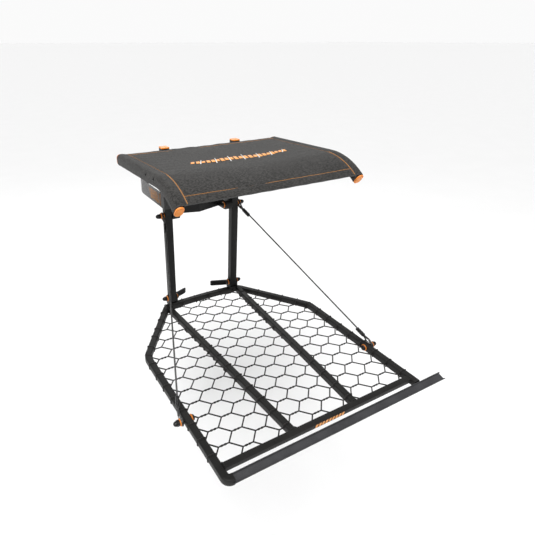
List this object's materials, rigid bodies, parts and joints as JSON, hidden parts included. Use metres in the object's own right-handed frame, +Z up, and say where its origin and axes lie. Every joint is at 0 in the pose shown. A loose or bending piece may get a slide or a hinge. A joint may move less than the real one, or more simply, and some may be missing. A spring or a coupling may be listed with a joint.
{
  "type": "tree stand",
  "caption": "Hang-on tree stand with two posts, a folding wire-mesh platform, a flip-up fabric seat, side support cables, a strap and a front footrest.",
  "frame": {"origin": "midway between the two posts, on the axis of the base bolts that the platform folds on, beside the tree", "axes": "+Z up along the posts, -Y towards the front of the platform, +Y towards the tree, +X to the sitter's left"},
  "size_m": [0.75, 1.0415, 0.5868],
  "materials": {
    "powder_coat": "fine-textured charcoal powder coat",
    "frame_coat": "fine-textured charcoal powder coat",
    "channel_coat": "lighter grey textured powder coat",
    "cloth": "charcoal coated polyester twill",
    "orange_plastic": "moulded orange nylon, satin",
    "black_steel": "black oxide steel",
    "cable_jacket": "black vinyl jacket over wire rope",
    "webbing": "woven black polyester webbing",
    "coated_wire": "dark coated wire"
  },
  "bodies": {
    "posts": {"post_left": "powder_coat", "post_right": "powder_coat", "post_cap_left": "orange_plastic", "post_cap_right": "orange_plastic", "lower_claw_left": "powder_coat", "lower_claw_right": "powder_coat", "upper_bracket": "powder_coat", "top_bolt_left": "black_steel", "top_bolt_right": "black_steel", "top_nut_left": "black_steel", "top_nut_right": "black_steel", "top_washer_inner_left": "orange_plastic", "top_washer_inner_right": "orange_plastic", "top_washer_middle_left": "orange_plastic", "top_washer_middle_right": "orange_plastic", "top_washer_outer_left": "orange_plastic", "top_washer_outer_right": "orange_plastic", "base_bolt_left": "black_steel", "base_bolt_right": "black_steel", "base_washer_inner_left": "orange_plastic", "base_washer_inner_right": "orange_plastic", "base_washer_outer_left": "orange_plastic", "base_washer_outer_right": "orange_plastic", "seat_pin_left": "black_steel", "seat_pin_right": "black_steel", "sleeve_top_left": "black_steel", "sleeve_top_right": "black_steel", "cable_left": "cable_jacket", "cable_right": "cable_jacket", "tree_strap": "webbing", "ratchet_frame": "black_steel"},
    "platform": {"platform_frame": "frame_coat", "front_bar": "frame_coat", "inner_bar_left": "frame_coat", "inner_bar_right": "frame_coat", "mesh_panel_left": "coated_wire", "mesh_panel_middle": "coated_wire", "mesh_panel_right": "coated_wire", "hinge_bracket_left": "frame_coat", "hinge_bracket_right": "frame_coat", "footrest": "channel_coat", "rail_bolt_left": "black_steel", "rail_bolt_right": "black_steel", "rail_nut_left": "black_steel", "rail_nut_right": "black_steel", "rail_washer_inner_left": "orange_plastic", "rail_washer_inner_right": "orange_plastic", "rail_washer_outer_left": "orange_plastic", "rail_washer_outer_right": "orange_plastic", "sleeve_low_left": "black_steel", "sleeve_low_right": "black_steel"},
    "seat": {"seat_frame": "powder_coat", "seat_rail_left": "powder_coat", "seat_rail_right": "powder_coat", "rail_cap_front_left": "orange_plastic", "rail_cap_front_right": "orange_plastic", "rail_cap_rear_left": "orange_plastic", "rail_cap_rear_right": "orange_plastic", "seat_sling": "cloth"},
    "handle": {"ratchet_handle": "black_steel"}
  },
  "joints": [
    {"name": "platform_fold", "type": "hinge", "parent": "posts", "child": "platform", "pos_m": [0, 0, 0], "axis": [-1, 0, 0], "range_deg": [0, 38], "deforming": ["cable_left", "cable_right"]},
    {"name": "seat_flip", "type": "hinge", "parent": "posts", "child": "seat", "pos_m": [0, 0, 0.51], "axis": [-1, 0, 0], "range_deg": [0, 80]},
    {"name": "ratchet_swing", "type": "hinge", "parent": "posts", "child": "handle", "pos_m": [0.1579, 0.128, 0.3625], "axis": [0, 0, 1], "range_deg": [0, 150]}
  ]
}
